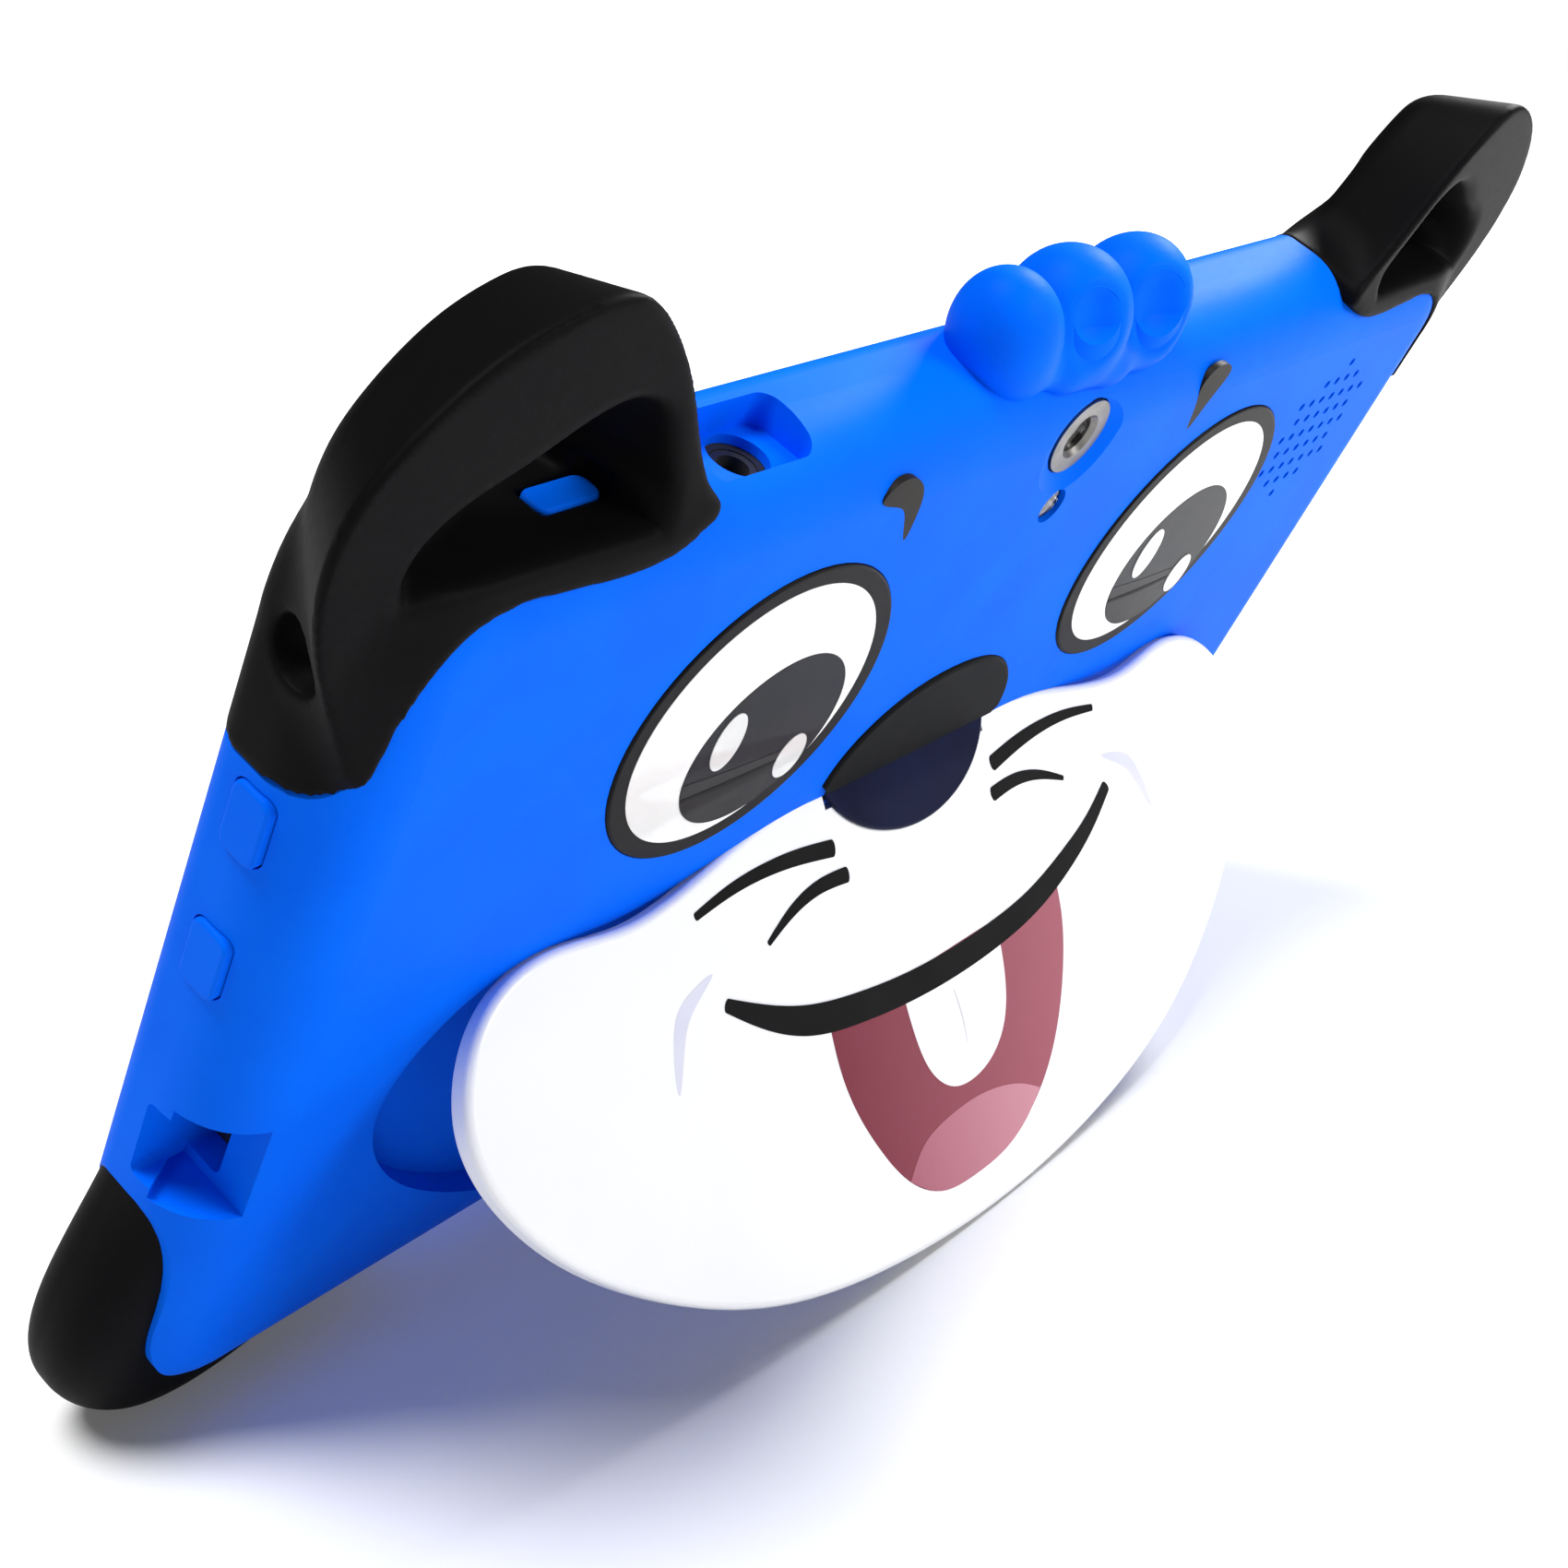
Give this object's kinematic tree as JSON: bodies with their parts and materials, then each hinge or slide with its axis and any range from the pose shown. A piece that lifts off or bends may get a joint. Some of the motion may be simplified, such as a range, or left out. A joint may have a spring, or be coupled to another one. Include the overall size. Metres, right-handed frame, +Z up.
{
  "type": "kids toy tablet",
  "caption": "Small tablet in a soft animal-face case with loop ears, corner bumpers and a hinged muzzle plate that folds out as a stand.",
  "frame": {"origin": "on the floor, in the middle of the footprint of the tablet standing on its opened muzzle plate", "axes": "+Z up; +X across the case, to the right seen from its decorated back; the back faces -Y and leans back 27.25 degrees, the screen faces +Y and slightly up"},
  "size_m": [0.2248, 0.0808, 0.1346],
  "materials": {
    "silicone_blue": "matte silicone",
    "silicone_black": "matte silicone",
    "badge_print": "gloss printed badge",
    "brow_black": "matte inlay",
    "plate_white": "satin with printed mouth",
    "nose_black": "satin",
    "hinge_plastic": "matte",
    "steel": "brushed",
    "bezel_metal": "anodised",
    "clear_glass": "polished",
    "housing_plastic": "fine texture",
    "screen_glass": "gloss black",
    "display": "satin",
    "adhesive": "foam tape",
    "board_green": "solder mask",
    "chip_black": "moulded epoxy",
    "gold_flex": "polyimide",
    "battery_foil": "satin foil",
    "speaker_cone": "moulded",
    "wire_red": "insulation",
    "copper": "plated copper"
  },
  "bodies": {
    "tablet": {"case_shell": "silicone_blue", "ear_left": "silicone_black", "ear_right": "silicone_black", "bumper_left": "silicone_black", "bumper_right": "silicone_black", "eye_left": "badge_print", "eye_right": "badge_print", "brow_left": "brow_black", "brow_right": "brow_black", "camera_bezel": "bezel_metal", "camera_window": "clear_glass", "flash_lens": "clear_glass", "hinge_bracket": "hinge_plastic", "hinge_pin": "steel", "nose_upper": "nose_black", "rear_cover": "housing_plastic", "front_housing": "housing_plastic", "touch_glass": "screen_glass", "glass_adhesive": "adhesive", "lcd_panel": "display", "main_board": "board_green", "board_screws": "steel", "board_chips": "chip_black", "shield_can": "steel", "headphone_jack": "chip_black", "usb_port": "steel", "card_socket": "steel", "rear_camera": "chip_black", "flash_led": "clear_glass", "front_camera": "chip_black", "speaker": "speaker_cone", "speaker_mesh": "steel", "microphone": "steel", "battery": "battery_foil", "battery_tape": "adhesive", "wifi_antenna": "copper", "antenna_cable": "housing_plastic", "lcd_flex": "gold_flex", "touch_flex": "gold_flex", "battery_lead": "wire_red", "speaker_lead": "wire_red", "tact_switches": "steel"},
    "stand": {"muzzle_stand": "plate_white", "nose_lower": "nose_black"},
    "power_button": {"power_pad": "silicone_blue", "power_key": "housing_plastic"},
    "volume_up_button": {"volume_up_pad": "silicone_blue", "volume_up_key": "housing_plastic"},
    "volume_down_button": {"volume_down_pad": "silicone_blue", "volume_down_key": "housing_plastic"}
  },
  "joints": [
    {"name": "stand_hinge", "type": "hinge", "parent": "tablet", "child": "stand", "pos_m": [0, -0.00318, 0.05852], "axis": [1, 0, 0], "range_deg": [0, 45]},
    {"name": "power_press", "type": "slide", "parent": "tablet", "child": "power_button", "axis": [0, 0.4579, -0.889], "range_m": [0, 0.0004]},
    {"name": "volume_up_press", "type": "slide", "parent": "tablet", "child": "volume_up_button", "axis": [1, 0, 0], "range_m": [0, 0.0004]},
    {"name": "volume_down_press", "type": "slide", "parent": "tablet", "child": "volume_down_button", "axis": [1, 0, 0], "range_m": [0, 0.0004]}
  ]
}
